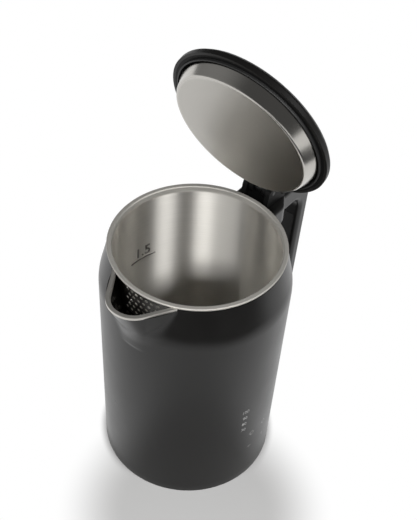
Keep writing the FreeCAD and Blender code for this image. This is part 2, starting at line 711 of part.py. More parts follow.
def make_bottom_cover():
    body = new_body("bottom_cover")
    edge = "foot_radius - shell_wall - play"
    turned(body, "plate", [
        ("socket_radius", "cover_lift"),
        ("foot_ring_inner", "cover_lift"),
        ("foot_ring_inner + foot_slope", "0"),
        ("foot_ring_outer", "0"),
        (edge, f"{COVER_TOP} - cover_plate / 2"),
        (edge, COVER_TOP),
        ("socket_radius + collar_wall", COVER_TOP),
        ("socket_radius + collar_wall", SOCKET_FACE),
        ("socket_radius", SOCKET_FACE),
    ])
    hole = plan_block(body, "screw_hole", lambda sketch: add_circle(
        sketch, "boss_place", "0", "screw_radius + screw_fit"), "0", COVER_TOP, cut=True)
    repeated(body, [hole], "screw_holes", BOTTOM_SCREWS)
    seat = plan_block(body, "head_seat", lambda sketch: add_circle(
        sketch, "boss_place", "0", "head_radius + play"), "0", "cover_lift + head_height", cut=True)
    repeated(body, [seat], "head_seats", BOTTOM_SCREWS)
    return body


def make_bottom_screws():
    body = new_body("bottom_screws")
    head = plan_block(body, "head", lambda sketch: add_circle(sketch, "boss_place", "0", "head_radius"),
                      "cover_lift", "head_height")
    shank = plan_block(body, "shank", lambda sketch: add_circle(sketch, "boss_place", "0", "screw_radius"),
                       "cover_lift + head_height", "screw_length")
    repeated(body, [head, shank], "screws", BOTTOM_SCREWS)
    return body


def make_control_board():
    body = new_body("control_board")
    inner = f"{VESSEL_OUT} + board_inset"
    turned(body, "sheet", [
        (inner, "board_low"),
        (f"{inner} + board_thickness", "board_low"),
        (f"{inner} + board_thickness", "board_high"),
        (inner, "board_high"),
    ], angle="board_angle")
    body.Placement.Rotation = FreeCAD.Rotation(V(0, 0, 1), value("board_side_angle"))
    return body


def make_indicator_lights():
    body = new_body("indicator_lights")
    inner = f"{VESSEL_OUT} + board_inset + board_thickness"
    for number in range(LIGHTS):
        low = f"light_low + light_rise * {number}"
        turned(body, f"light_{number}", [
            (inner, low),
            (f"{inner} + light_depth", low),
            (f"{inner} + light_depth", f"{low} + light_height"),
            (inner, f"{low} + light_height"),
        ], angle="light_angle")
    body.Placement.Rotation = FreeCAD.Rotation(V(0, 0, 1), value("light_side_angle"))
    return body


def grip_at(height, inset="0"):
    """Formula for the grip's leaning outside, moved inwards by an inset."""
    return f"(grip_reach - grip_lean * (handle_top - ({height})) - ({inset}))"


def cut_shell_side(body):
    """Cuts the piece where the shell stands, with the fixed pieces' gap."""
    turned(body, "shell_side", [
        ("0", "0"),
        (radius_at("0", "seat_gap"), "0"),
        ("crease_radius + seat_gap", "crease_height"),
        (f"{SHELL_TOP_RADIUS} + seat_gap", SHELL_TOP),
        ("rim_radius + seat_gap", SHELL_TOP),
        ("rim_radius + seat_gap", "rim_height + hinge_rise"),
        ("0", "rim_height + hinge_rise"),
    ], cut=True)


def cut_slider_channel(body, top):
    """The slider's way through head and grip, with room for its travel and its spring."""
    side_block(body, "slider_channel", [
        (f"{NOSE_FACE} - play", f"{SLIDER_UNDER} - play"),
        ("slider_end + coil_length + play", f"{SLIDER_UNDER} - play"),
        ("slider_end + coil_length + play", top),
        (f"{NOSE_FACE} - play", top),
    ], "slider_width + 2 * play", cut=True)


def cut_nose_slot(body):
    side_block(body, "nose_slot", [
        (f"{NOSE_FACE} - play", SLIDER_UNDER),
        (f"{NOSE_FACE} + nose_thickness + button_travel + play", SLIDER_UNDER),
        (f"{NOSE_FACE} + nose_thickness + button_travel + play", f"{PIN_HEIGHT}"),
        (f"{NOSE_FACE} - play", f"{PIN_HEIGHT}"),
    ], "nose_width + 2 * play", cut=True)


def make_handle_head():
    body = new_body("handle_head")
    plan_block(body, "saddle", lambda sketch: add_outline(sketch, [
        ("head_root", "-head_width / 2"),
        ("hinge_reach + ear_front", "-head_width / 2", "gap_corner"),
        ("head_end - seat_gap", "-grip_width / 2"),
        ("head_end - seat_gap", "grip_width / 2"),
        ("hinge_reach + ear_front", "head_width / 2", "gap_corner"),
        ("head_root", "head_width / 2"),
    ]), ARM_UNDER, "upper_arm")
    low, high = value(ARM_UNDER), value("handle_top")
    ends = (value("head_root"), value("head_end - seat_gap"))
    rounded(body, "saddle_edges", "head_edge", lambda edge: (
        (in_plane(edge, 2, low) or in_plane(edge, 2, high))
        and not any(in_plane(edge, 0, end) for end in ends)))
    cut_shell_side(body)
    cut_slider_channel(body, f"{SLIDER_TOP} + play")
    cut_nose_slot(body)
    bore_along_x(body, "screw_holes", handle_screw_places("screw_radius + screw_fit")[:2],
                 "head_root", "screw_length + crease_radius - head_root")
    plan_block(body, "bracket_holes", draw_bracket_screws("screw_radius + screw_fit"),
               "handle_top - screw_length", "screw_length", cut=True)
    return body


def draw_bracket_screws(radius):
    def draw(sketch):
        for side in ("", "-"):
            add_circle(sketch, "bracket_screw", f"{side}bracket_screw_side", radius)
    return draw


def make_handle_grip():
    body = new_body("handle_grip")
    side_block(body, "bow", [
        ("head_end", "handle_top"),
        (grip_at("handle_top"), "handle_top", "top_corner"),
        (grip_at("handle_foot"), "handle_foot", "low_corner"),
        ("head_root", "handle_foot"),
        ("head_root", LOW_ARM_TOP),
        (grip_at(LOW_ARM_TOP, "grip_thickness"), LOW_ARM_TOP, "gap_corner"),
        (grip_at(ARM_UNDER, "grip_thickness"), ARM_UNDER, "gap_corner"),
        ("head_end", ARM_UNDER),
    ], "grip_width")
    half = value("grip_width / 2")
    ends = (value("head_root"), value("head_end"))
    rounded(body, "bow_edges", "grip_edge", lambda edge: (
        (in_plane(edge, 1, half) or in_plane(edge, 1, -half))
        and not any(in_plane(edge, 0, end) for end in ends)))
    cut_shell_side(body)
    cut_slider_channel(body, "handle_top - cap_thickness")
    side_block(body, "cap_seat", [
        ("cap_start - play", "handle_top - cap_thickness - play"),
        ("cap_end + play", "handle_top - cap_thickness - play"),
        ("cap_end + play", BUTTON_TOP),
        ("cap_start - play", BUTTON_TOP),
    ], "cap_width + 2 * play", cut=True)
    side_block(body, "leg_pit", [
        (f"{LEG_FACE} - play", f"{LEG_LOW} - button_travel - play"),
        (f"{LEG_FACE} + leg_tip + button_travel + play", f"{LEG_LOW} - button_travel - play"),
        (f"{LEG_FACE} + leg_tip + button_travel + play", SLIDER_UNDER),
        (f"{LEG_FACE} - play", SLIDER_UNDER),
    ], "slider_width / 2 + 2 * play", cut=True)
    side_block(body, "hollow", grip_strip("cover_low - play", "cover_high + play", "-play", "grip_hollow"),
               "cover_width + 2 * play", cut=True)
    bore_along_x(body, "screw_holes", handle_screw_places("screw_radius + screw_fit")[2:],
                 "head_root", "screw_length + crease_radius - head_root")
    return body


def grip_strip(low, high, start, end):
    """Corners of a strip along the grip's inner face, from one depth to another."""
    return [
        (grip_at(low, f"grip_thickness - ({start})"), low),
        (grip_at(low, f"grip_thickness - ({end})"), low),
        (grip_at(high, f"grip_thickness - ({end})"), high),
        (grip_at(high, f"grip_thickness - ({start})"), high),
    ]


def make_grip_cover():
    body = new_body("grip_cover")
    side_block(body, "plate", grip_strip("cover_low", "cover_high", "0", "cover_thickness"), "cover_width")
    return body


def make_handle_cap():
    body = new_body("handle_cap")
    side_block(body, "plate", [
        ("cap_start", "handle_top - cap_thickness"),
        ("cap_end", "handle_top - cap_thickness"),
        ("cap_end", "handle_top"),
        ("cap_start", "handle_top"),
    ], "cap_width")
    side_block(body, "button_way", [
        ("button_start - play", SLIDER_TOP),
        ("button_start + button_length + play", SLIDER_TOP),
        ("button_start + button_length + play", BUTTON_TOP),
        ("button_start - play", BUTTON_TOP),
    ], "button_width + 2 * play", cut=True)
    return body


def make_handle_screws():
    body = new_body("handle_screws")
    for name, places, wall in (
        ("upper", handle_screw_places("screw_radius")[:2], shoulder_at("upper_screw_height")),
        ("lower", handle_screw_places("screw_radius")[2:], radius_at("handle_foot + lower_arm / 2")),
    ):
        start = f"{wall} - shell_wall - screw_inset"
        for part, radius, low, length in (
            ("head", "head_radius", start, "head_height"),
            ("shank", "screw_radius", f"{start} + head_height", "screw_length"),
        ):
            sketch = new_sketch(body, f"{name}_{part}_profile", "YZ_Plane", low)
            for across, up, bore in places:
                add_circle(sketch, across, up, radius)
            feature = body.newObject("PartDesign::Pad", f"{name}_{part}")
            feature.Profile = sketch
            feature.setExpression("Length", cells(length))
            finish_feature(body, feature, False)
    return body


def make_hinge_bracket():
    body = new_body("hinge_bracket")
    width = "knuckle_width + 2 * ear_gap + 2 * ear_thickness"
    top = f"{PIN_HEIGHT} + ear_round"
    side_block(body, "ears", [
        ("bracket_front", "handle_top"),
        ("head_end - seat_gap", "handle_top"),
        ("head_end - seat_gap", "handle_top + bracket_plate", "bracket_plate / 2"),
        ("hinge_reach + ear_front + ear_round", "handle_top + bracket_plate"),
        ("hinge_reach + ear_front", top, "ear_round"),
        ("hinge_reach - ear_front", top, "ear_round"),
        ("bracket_front", "handle_top + bracket_plate", "bracket_plate / 2"),
    ], width)
    side_block(body, "knuckle_way", [
        ("bracket_front - play", "handle_top + bracket_plate"),
        ("head_end", "handle_top + bracket_plate"),
        ("head_end", f"{top} + play"),
        ("bracket_front - play", f"{top} + play"),
    ], "knuckle_width + 2 * ear_gap", cut=True)
    cut_nose_slot(body)
    plan_block(body, "screw_holes", draw_bracket_screws("screw_radius + screw_fit"),
               "handle_top", "bracket_plate", cut=True)
    plan_block(body, "head_seats", draw_bracket_screws("head_radius + play"),
               "handle_top + bracket_plate - head_height", PIN_HEIGHT, cut=True)
    pin_bore(body, "pin_holes", "pin_radius")
    return body


def pin_bore(body, name, radius):
    """A hole along the hinge axis, right through the piece."""
    sketch = new_sketch(body, name + "_profile", "XZ_Plane")
    add_circle(sketch, "hinge_reach", PIN_HEIGHT, radius)
    feature = body.newObject("PartDesign::Pocket", name)
    feature.Profile = sketch
    feature.Midplane = True
    feature.setExpression("Length", cells("head_width"))
    return finish_feature(body, feature, True)


def make_bracket_screws():
    body = new_body("bracket_screws")
    seat = "handle_top + bracket_plate - head_height"
    plan_block(body, "shanks", draw_bracket_screws("screw_radius"),
               f"{seat} - screw_length", "screw_length")
    plan_block(body, "heads", draw_bracket_screws("head_radius"), seat, "head_height")
    return body


def make_hinge_pin():
    body = new_body("hinge_pin")
    sketch = new_sketch(body, "pin_profile", "XZ_Plane")
    add_circle(sketch, "hinge_reach", PIN_HEIGHT, "pin_radius")
    feature = body.newObject("PartDesign::Pad", "pin")
    feature.Profile = sketch
    feature.Midplane = True
    feature.setExpression("Length", cells("knuckle_width + 2 * ear_gap + 2 * ear_thickness - play"))
    finish_feature(body, feature, False)
    return body


def arc_from(start, control, end):
    """The arc that leaves start towards control and reaches end from it."""
    middle = (start + end) * 0.5
    half = (end - start).Length / 2
    rise = (control - middle).Length
    bulge = half * math.tan(math.atan2(rise, half) / 2)
    return Part.Arc(start, middle + (control - middle) * (bulge / rise), end).toShape()


def helix_wire(radius, pitch, turns):
    """A helix about Z of two tangent arcs in each quarter turn."""
    slope = pitch / (2 * math.pi * radius)
    steep = math.sqrt(1 + slope * slope)

    def point(quarter):
        angle = quarter * math.pi / 2
        return V(radius * math.cos(angle), radius * math.sin(angle), pitch * quarter / 4)

    def tangent(quarter):
        angle = quarter * math.pi / 2
        return V(-math.sin(angle) / steep, math.cos(angle) / steep, slope / steep)

    edges = []
    for quarter in range(4 * turns):
        start, end = point(quarter), point(quarter + 1)
        leave, arrive = tangent(quarter), tangent(quarter + 1)
        across = end - start
        both = leave + arrive
        spread = 2 * (1 - leave.dot(arrive))
        reach = (math.sqrt(across.dot(both) ** 2 + spread * across.dot(across)) - across.dot(both)) / spread
        first, second = start + leave * reach, end - arrive * reach
        join = (first + second) * 0.5
        edges += [arc_from(start, first, join), arc_from(join, second, end)]
    return Part.Wire(edges), tangent(0)


def make_spring(label, radius, wire, pitch, turns, placement):
    """A coil spring as one unbroken tube."""
    path, heading = helix_wire(value(radius), value(pitch), turns)
    ring = Part.Wire([Part.Circle(V(value(radius), 0, 0), heading, value(wire)).toShape()])
    sweep = Part.BRepOffsetAPI.MakePipeShell(path)
    sweep.add(ring)
    sweep.build()
    sweep.makeSolid()
    spring = doc.addObject("Part::Feature", label)
    spring.Label = label
    spring.Shape = sweep.shape()
    spring.Placement = placement
    print(f"{label}: gap between turns {value(pitch) - 2 * value(wire):.2f} mm")
    return spring


def make_lid_spring():
    half = value("spring_pitch") * SPRING_TURNS / 2
    turn = FreeCAD.Rotation(V(1, 0, 0), -90)
    place = FreeCAD.Placement(V(value("hinge_reach"), -half, value(PIN_HEIGHT)), turn)
    return make_spring("lid_spring", "pin_radius + spring_clear + spring_wire", "spring_wire",
                       "spring_pitch", SPRING_TURNS, place)


def make_latch_spring():
    turn = FreeCAD.Rotation(V(0, 1, 0), 90)
    start = value("slider_end + coil_wire")
    place = FreeCAD.Placement(V(start, 0, value(f"{SLIDER_UNDER} + slider_height / 2")), turn)
    pitch = f"(coil_length - 2 * coil_wire) / {COIL_TURNS}"
    return make_spring("latch_spring", "coil_radius", "coil_wire", pitch, COIL_TURNS, place)


def make_release_button():
    body = new_body("release_button")
    outer = "button_start + button_length"
    side_block(body, "cap", [
        ("button_start", BUTTON_UNDER),
        (outer, BUTTON_UNDER),
        (outer, BUTTON_TOP),
        ("button_start", BUTTON_TOP),
    ], "button_width")
    top = value(BUTTON_TOP)
    rounded(body, "cap_edges", "button_edge", lambda edge: in_plane(edge, 2, top))
    side_block(body, "leg", [
        (LEG_FACE, LEG_LOW),
        (f"{LEG_FACE} + leg_tip", LEG_LOW),
        (f"{LEG_FACE} + leg_tip + {SLIDER_TOP} - {LEG_LOW}", SLIDER_TOP),
        (f"{LEG_FACE} + leg_tip + {SLIDER_TOP} - {LEG_LOW}", BUTTON_UNDER),
        (LEG_FACE, BUTTON_UNDER),
    ], "slider_width / 2")
    return body


def make_latch_slider():
    body = new_body("latch_slider")
    side_block(body, "bar", [
        (NOSE_FACE, SLIDER_UNDER),
        ("slider_end", SLIDER_UNDER),
        ("slider_end", SLIDER_TOP),
        (NOSE_FACE, SLIDER_TOP),
    ], "slider_width")
    side_block(body, "nose", [
        (NOSE_FACE, SLIDER_UNDER),
        (f"{NOSE_FACE} + nose_thickness", SLIDER_UNDER),
        (f"{NOSE_FACE} + nose_thickness", PIN_HEIGHT),
        (NOSE_FACE, PIN_HEIGHT),
    ], "nose_width")
    ramp = f"{LEG_FACE} + leg_tip + window_gap - leg_rest"
    side_block(body, "button_window", [
        (f"{LEG_FACE} - button_travel - window_gap", SLIDER_UNDER),
        (ramp, SLIDER_UNDER),
        (f"{ramp} + slider_height", SLIDER_TOP),
        (f"{LEG_FACE} - button_travel - window_gap", SLIDER_TOP),
    ], "slider_width / 2 + 2 * play", cut=True)
    return body


def open_lid(piece):
    """Turns a piece drawn on the closed lid to its open place."""
    pivot = V(value("hinge_reach"), 0, value(PIN_HEIGHT))
    turn = FreeCAD.Rotation(V(0, 1, 0), value("open_angle"))
    piece.Placement = FreeCAD.Placement(V(0, 0, 0), turn, pivot)
    return piece


def make_lid_cover():
    body = new_body("lid_cover")
    turned(body, "dome", [
        ("lid_radius - lid_sheet", LID_LOW),
        ("lid_radius", LID_LOW),
        ("lid_radius", FRAME_TOP, "lid_turn"),
        ("lid_radius - lid_taper", LID_SIDE_TOP, "lid_edge"),
        ("lid_radius - lid_bend", f"{LID_SIDE_TOP} + lid_dome", "lid_sweep"),
        ("0", f"{LID_SIDE_TOP} + lid_dome"),
        ("0", f"{LID_SIDE_TOP} + lid_dome - lid_sheet"),
        ("lid_radius - lid_bend", f"{LID_SIDE_TOP} + lid_dome - lid_sheet", "lid_sweep - lid_sheet"),
        ("lid_radius - lid_taper - lid_sheet", f"{LID_SIDE_TOP} - lid_sheet", "lid_edge - lid_sheet"),
        ("lid_radius - lid_sheet", FRAME_TOP),
    ])
    boss = plan_block(body, "boss", lambda sketch: add_circle(
        sketch, "-lid_screw_place", "0", "lid_boss"),
        FRAME_TOP, f"{LID_SIDE_TOP} - {FRAME_TOP} - lid_sheet / 2")
    repeated(body, [boss], "bosses", LID_SCREWS)
    hole = plan_block(body, "boss_hole", lambda sketch: add_circle(
        sketch, "-lid_screw_place", "0", "screw_radius + screw_fit"),
        FRAME_TOP, f"{LID_SIDE_TOP} - {FRAME_TOP} - lid_sheet", cut=True)
    repeated(body, [hole], "boss_holes", LID_SCREWS)
    side_block(body, "arm_way", [
        ("arm_root", f"{LID_LOW} - play"),
        ("hinge_reach", f"{LID_LOW} - play"),
        ("hinge_reach", f"{LID_LOW} + arm_thickness + seat_gap"),
        ("arm_root", f"{LID_LOW} + arm_thickness + seat_gap"),
    ], "knuckle_width + 2 * seat_gap", cut=True)
    return open_lid(body)


def make_lid_frame():
    body = new_body("lid_frame")
    groove = "pan_radius + seal_width + seat_gap"
    turned(body, "ring", [
        ("frame_inner", FRAME_SEAT),
        (groove, FRAME_SEAT),
        (groove, LID_LOW),
        (FRAME_RADIUS, LID_LOW),
        (FRAME_RADIUS, FRAME_TOP),
        ("frame_inner", FRAME_TOP),
    ])
    side_block(body, "arm", [
        (groove, LID_LOW),
        ("hinge_reach", LID_LOW),
        ("hinge_reach", f"{LID_LOW} + arm_thickness"),
        (groove, f"{LID_LOW} + arm_thickness"),
    ], "knuckle_width")
    sketch = new_sketch(body, "knuckle_profile", "XZ_Plane")
    add_circle(sketch, "hinge_reach", PIN_HEIGHT, "knuckle_radius")
    knuckle = body.newObject("PartDesign::Pad", "knuckle")
    knuckle.Profile = sketch
    knuckle.Midplane = True
    knuckle.setExpression("Length", cells("knuckle_width"))
    finish_feature(body, knuckle, False)
    pin_bore(body, "pin_hole", "pin_radius + pin_fit")
    side_block(body, "spring_way", [
        ("hinge_reach - knuckle_radius - play", "rim_height - knuckle_radius"),
        ("hinge_reach + knuckle_radius + play", "rim_height - knuckle_radius"),
        ("hinge_reach + knuckle_radius + play", f"{PIN_HEIGHT} + knuckle_radius + play"),
        ("hinge_reach - knuckle_radius - play", f"{PIN_HEIGHT} + knuckle_radius + play"),
    ], "spring_slot", cut=True)
    side_block(body, "latch_notch", [
        ("hinge_reach + knuckle_radius - notch_depth", f"{PIN_HEIGHT} - notch_height"),
        (NOSE_FACE, f"{PIN_HEIGHT} - notch_height"),
        (NOSE_FACE, PIN_HEIGHT),
        ("hinge_reach + knuckle_radius - notch_depth", PIN_HEIGHT),
    ], "knuckle_width + play", cut=True)
    holes = plan_block(body, "screw_hole", lambda sketch: add_circle(
        sketch, "-lid_screw_place", "0", "screw_radius + screw_fit"),
        FRAME_SEAT, "frame_thickness", cut=True)
    repeated(body, [holes], "screw_holes", LID_SCREWS)
    return open_lid(body)


def make_lid_seal():
    body = new_body("lid_seal")
    turned(body, "ring", [
        ("pan_radius + seat_gap", "rim_height - seal_drop"),
        ("pan_radius + seal_width", "rim_height - seal_drop", "seal_width / 3"),
        ("pan_radius + seal_width", FRAME_SEAT),
        ("pan_radius + seat_gap", FRAME_SEAT),
    ])
    return open_lid(body)


def make_lid_pan():
    body = new_body("lid_pan")
    face = "rim_height - pan_depth"
    turned(body, "pan", [
        ("0", face),
        ("pan_face", face, "pan_round"),
        ("pan_radius", FRAME_SEAT),
        ("pan_radius - pan_sheet", FRAME_SEAT),
        ("pan_face - pan_sheet", f"{face} + pan_sheet", "pan_round - pan_sheet"),
        ("0", f"{face} + pan_sheet"),
    ])
    return open_lid(body)


def make_lid_screws():
    body = new_body("lid_screws")
    head = plan_block(body, "head", lambda sketch: add_circle(
        sketch, "-lid_screw_place", "0", "head_radius"), f"{FRAME_SEAT} - head_height", "head_height")
    shank = plan_block(body, "shank", lambda sketch: add_circle(
        sketch, "-lid_screw_place", "0", "screw_radius"),
        FRAME_SEAT, f"{LID_SIDE_TOP} - {FRAME_SEAT} - lid_sheet - play")
    repeated(body, [head, shank], "screws", LID_SCREWS)
    return open_lid(body)


pieces = [
    make_outer_shell(),
    make_inner_vessel(),
    make_pouring_spout(),
    make_rim_gasket(),
    make_heat_spreader(),
    make_heating_element(),
    make_temperature_sensor(),
    make_control_block(),
    make_contact_ring("inner_contact_ring", "inner_slot"),
    make_contact_ring("outer_contact_ring", "outer_slot"),
    make_bottom_cover(),
    make_bottom_screws(),
    make_control_board(),
    make_indicator_lights(),
    make_handle_head(),
    make_handle_grip(),
    make_grip_cover(),
    make_handle_cap(),
    make_handle_screws(),
    make_hinge_bracket(),
    make_bracket_screws(),
    make_hinge_pin(),
    make_lid_spring(),
    make_latch_spring(),
    make_release_button(),
    make_latch_slider(),
    make_lid_frame(),
    make_lid_cover(),
    make_lid_seal(),
    make_lid_pan(),
    make_lid_screws(),
]
doc.recompute()

for item in doc.Objects:
    if "Invalid" in item.State or "Error" in item.State:
        raise RuntimeError(f"{item.Label} failed: {item.State}")
for piece in pieces:
    if piece.Shape.isNull() or not piece.Shape.isValid():
        raise RuntimeError(f"{piece.Label} has no valid shape")

os.makedirs("parts", exist_ok=True)
for piece in pieces:
    piece.Shape.exportStep(os.path.join("parts", piece.Label + ".step"))
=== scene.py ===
import math

import bpy
import numpy as np
from mathutils import Matrix, Vector


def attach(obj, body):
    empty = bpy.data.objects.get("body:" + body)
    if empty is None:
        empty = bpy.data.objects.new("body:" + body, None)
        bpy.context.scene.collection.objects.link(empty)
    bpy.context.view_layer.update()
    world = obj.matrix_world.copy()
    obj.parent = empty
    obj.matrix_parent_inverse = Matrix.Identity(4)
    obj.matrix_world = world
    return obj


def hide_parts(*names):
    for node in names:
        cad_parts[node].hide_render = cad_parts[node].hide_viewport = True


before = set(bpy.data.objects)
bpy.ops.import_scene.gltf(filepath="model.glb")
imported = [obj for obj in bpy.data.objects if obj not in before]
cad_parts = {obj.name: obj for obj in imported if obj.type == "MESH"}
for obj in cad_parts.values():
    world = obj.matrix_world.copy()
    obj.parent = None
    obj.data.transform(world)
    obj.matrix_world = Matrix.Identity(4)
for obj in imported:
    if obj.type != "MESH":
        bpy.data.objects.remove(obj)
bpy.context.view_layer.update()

# The camera looks down on the open kettle from its spout side, turned a little on its own axis,
# with the long lens of a product picture.
CAMERA_AZIMUTH = math.radians(-54.987)
CAMERA_ELEVATION = math.radians(44.541)
CAMERA_ROLL = math.radians(4.168)
CAMERA_PLACE = Vector((-0.42877, -0.31063, 0.71691))
CAMERA_LENS = 71.208
CAMERA_SENSOR = 36.0
level_right = Vector((math.cos(CAMERA_AZIMUTH), math.sin(CAMERA_AZIMUTH), 0))
back = Vector((math.sin(CAMERA_AZIMUTH) * math.cos(CAMERA_ELEVATION),
               -math.cos(CAMERA_AZIMUTH) * math.cos(CAMERA_ELEVATION),
               math.sin(CAMERA_ELEVATION)))
level_up = back.cross(level_right)
right = level_right * math.cos(CAMERA_ROLL) + level_up * math.sin(CAMERA_ROLL)
up = level_up * math.cos(CAMERA_ROLL) - level_right * math.sin(CAMERA_ROLL)
bpy.ops.object.camera_add()
camera = bpy.context.object
camera.name = "photo_camera"
camera.matrix_world = Matrix.Translation(CAMERA_PLACE) @ Matrix((right, up, back)).transposed().to_4x4()
camera.data.sensor_fit = "VERTICAL"
camera.data.sensor_height = CAMERA_SENSOR
camera.data.lens = CAMERA_LENS
bpy.context.scene.camera = camera
bpy.context.scene.view_settings.view_transform = "Standard"

# The table is a white sheet; near the kettle its colour is painted shadow, grey pools on top of the real
# shadow, and it runs out to clean white around it.
# Dark card lies on the camera's side, out of the picture, as a photographer sets it for a dark object.
FLOOR_SIZE = 100.0
# The table's colour inside the pools is a grey that paints the shadow in.
PAINTED_POOL_GREY = (0.39, 0.388, 0.385, 1)
# Each painted shadow pool: its middle towards the camera and to the right, and where its fade starts and
# ends.
PAINTED_SHADOW_POOLS = ((0.0, 0.0, 0.066, 0.075), (0.085, 0.012, 0.055, 0.112))
# Each card: compass bearing, distance, width and depth.
CARDS = {"front_card": (-144.85, 0.95, 0.8, 1.2), "side_card": (-104.0, 0.56, 0.6, 0.5)}
CARD_LIFT = 0.004
CARD_BLACK = (0.012, 0.012, 0.012, 1)
MATT = 0.9
bpy.ops.mesh.primitive_plane_add(size=FLOOR_SIZE)
floor = bpy.context.object
floor.name = "table"
white = bpy.data.materials.new("table_white")
white.use_nodes = True
tree = white.node_tree
sheet = tree.nodes["Principled BSDF"]
sheet.inputs["Base Color"].default_value = PAINTED_POOL_GREY
sheet.inputs["Roughness"].default_value = MATT
sheet.inputs["Specular IOR Level"].default_value = 0.0
coord = tree.nodes.new("ShaderNodeTexCoord")
toward_camera = Vector((back.x, back.y, 0)).normalized()
clear = None
for forward, aside, inner, outer in PAINTED_SHADOW_POOLS:
    distance = tree.nodes.new("ShaderNodeVectorMath")
    distance.operation = "DISTANCE"
    tree.links.new(coord.outputs["Object"], distance.inputs[0])
    distance.inputs[1].default_value = toward_camera * forward + level_right * aside
    fade = tree.nodes.new("ShaderNodeMapRange")
    fade.interpolation_type = "SMOOTHSTEP"
    fade.inputs["From Min"].default_value = inner
    fade.inputs["From Max"].default_value = outer
    tree.links.new(distance.outputs["Value"], fade.inputs["Value"])
    both = tree.nodes.new("ShaderNodeMath")
    both.operation = "MULTIPLY"
    both.inputs[1].default_value = 1.0
    tree.links.new(fade.outputs["Result"], both.inputs[0])
    if clear:
        tree.links.new(clear, both.inputs[1])
    clear = both.outputs["Value"]
path = tree.nodes.new("ShaderNodeLightPath")
seen = tree.nodes.new("ShaderNodeMath")
seen.operation = "ADD"
tree.links.new(path.outputs["Is Camera Ray"], seen.inputs[0])
tree.links.new(path.outputs["Is Glossy Ray"], seen.inputs[1])
through = tree.nodes.new("ShaderNodeMath")
through.operation = "ADD"
through.use_clamp = True
tree.links.new(seen.outputs[0], through.inputs[0])
tree.links.new(path.outputs["Is Transmission Ray"], through.inputs[1])
share = tree.nodes.new("ShaderNodeMath")
share.operation = "MULTIPLY"
tree.links.new(through.outputs[0], share.inputs[0])
tree.links.new(clear, share.inputs[1])
glow = tree.nodes.new("ShaderNodeEmission")
mixed = tree.nodes.new("ShaderNodeMixShader")
tree.links.new(share.outputs[0], mixed.inputs["Fac"])
tree.links.new(sheet.outputs["BSDF"], mixed.inputs[1])
tree.links.new(glow.outputs["Emission"], mixed.inputs[2])
tree.links.new(mixed.outputs["Shader"], tree.nodes["Material Output"].inputs["Surface"])
floor.data.materials.append(white)

black = bpy.data.materials.new("card_black")
black.use_nodes = True
paper = black.node_tree.nodes["Principled BSDF"]
paper.inputs["Base Color"].default_value = CARD_BLACK
paper.inputs["Roughness"].default_value = MATT
for name, (bearing, far, width, deep) in CARDS.items():
    turn = math.radians(bearing)
    bpy.ops.mesh.primitive_plane_add(size=1)
    card = bpy.context.object
    card.name = name
    card.scale = (deep, width, 1)
    card.rotation_euler = (0, 0, turn)
    card.location = (math.cos(turn) * far, math.sin(turn) * far, CARD_LIFT)
    card.data.materials.append(black)
    card.visible_camera = False

# Three long soft lamps stand on the camera's side; the brushed vessel draws each out into one bright band.
# They are flagged off the steel pan under the lid, which shows the white table and the room instead.
# The room is dark, a little lighter on one side.
STRIP_FAR, STRIP_TALL = 1.4, 0.2
# Each strip: compass bearing, angle above the table, length and power.
STRIPS = {"front_strip": (-150.0, 41.0, 0.42, 12.0),
          "left_strip": (-180.5, 41.0, 0.74, 8.6),
          "right_strip": (-97.0, 46.0, 0.45, 12.5)}
STRIP_AIM = Vector((0, 0, 0.15))
ROOM_BEARING, ROOM_RISE = 118.0, 15.0
ROOM_DARK, ROOM_LIGHT = 0.09, 0.28


def aloft(bearing, rise, far):
    """A place in the studio from its compass bearing, its angle above the table and its distance."""
    bearing, rise = math.radians(bearing), math.radians(rise)
    level = math.cos(rise)
    return Vector((math.cos(bearing) * level, math.sin(bearing) * level, math.sin(rise))) * far


kept_off = bpy.data.collections.new("flagged_off")
kept_off.objects.link(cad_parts["lid_pan"])
kept_off.collection_objects[0].light_linking.link_state = "EXCLUDE"
for name, (bearing, rise, long, power) in STRIPS.items():
    place = aloft(bearing, rise, STRIP_FAR)
    bpy.ops.object.light_add(type="AREA", location=place)
    lamp = bpy.context.object
    lamp.name = name
    lamp.data.shape = "RECTANGLE"
    lamp.data.size, lamp.data.size_y = long, STRIP_TALL
    lamp.data.energy = power
    lamp.rotation_euler = (place - STRIP_AIM).to_track_quat("Z", "Y").to_euler()
    lamp.light_linking.receiver_collection = kept_off
world = bpy.data.worlds.new("studio")
bpy.context.scene.world = world
world.use_nodes = True
room = world.node_tree
view = room.nodes.new("ShaderNodeTexCoord")
facing = room.nodes.new("ShaderNodeVectorMath")
facing.operation = "DOT_PRODUCT"
facing.inputs[1].default_value = aloft(ROOM_BEARING, ROOM_RISE, 1)
room.links.new(view.outputs["Generated"], facing.inputs[0])
falloff = room.nodes.new("ShaderNodeMapRange")
falloff.interpolation_type = "SMOOTHSTEP"
falloff.inputs["From Min"].default_value = 0.5
falloff.inputs["From Max"].default_value = 1.0
falloff.inputs["To Min"].default_value = ROOM_DARK
falloff.inputs["To Max"].default_value = ROOM_LIGHT
room.links.new(facing.outputs["Value"], falloff.inputs["Value"])
room.links.new(falloff.outputs["Result"], room.nodes["Background"].inputs["Strength"])
room.nodes["Background"].inputs["Color"].default_value = (1, 1, 1, 1)

